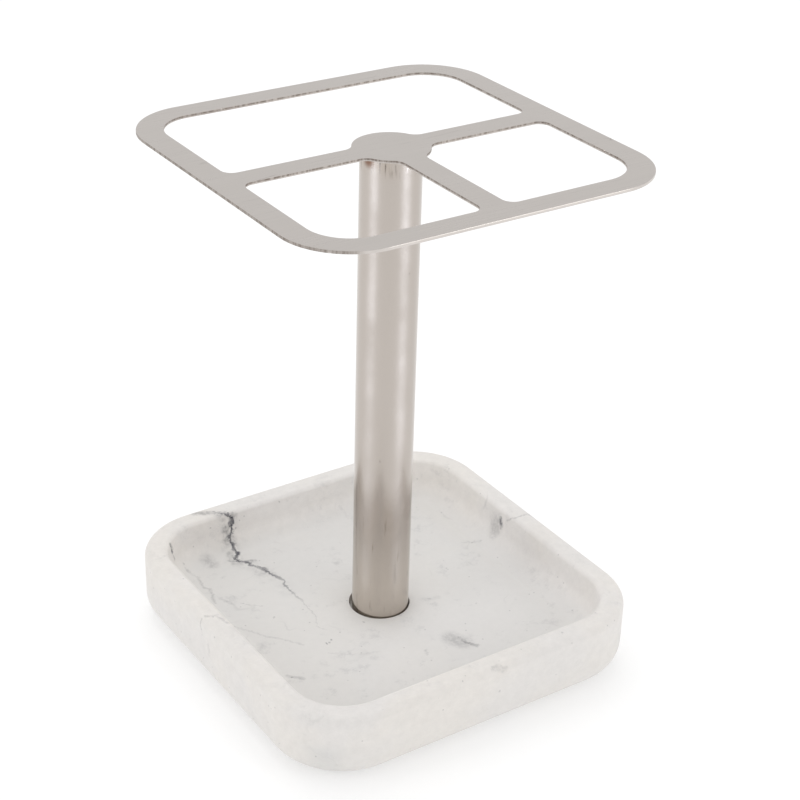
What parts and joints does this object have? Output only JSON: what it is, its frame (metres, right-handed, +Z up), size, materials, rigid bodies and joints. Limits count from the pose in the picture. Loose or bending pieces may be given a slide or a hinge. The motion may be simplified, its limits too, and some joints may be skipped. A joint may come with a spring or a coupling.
{
  "type": "razor stand",
  "caption": "Counter stand for razors and brushes: a flat steel plate with three openings, welded on a round post in a square veined stone tray.",
  "frame": {"origin": "middle of the footprint, on the surface that the feet stand on", "axes": "+Z up along the post; -Y towards the front, where the plate's short bar is; +X to the right"},
  "size_m": [0.109, 0.109, 0.147],
  "materials": {
    "cast_stone": "satin",
    "plate_steel": "satin",
    "post_steel": "satin",
    "fastener_steel": "gloss",
    "foot_rubber": "matte"
  },
  "bodies": {
    "root": {"tray_base": "cast_stone", "post_tube": "post_steel", "weld_seam": "post_steel", "top_plate": "plate_steel", "threaded_plug": "fastener_steel", "fixing_screw": "fastener_steel", "flat_washer": "fastener_steel", "foot_front_left": "foot_rubber", "foot_front_right": "foot_rubber", "foot_back_left": "foot_rubber", "foot_back_right": "foot_rubber"}
  },
  "joints": []
}
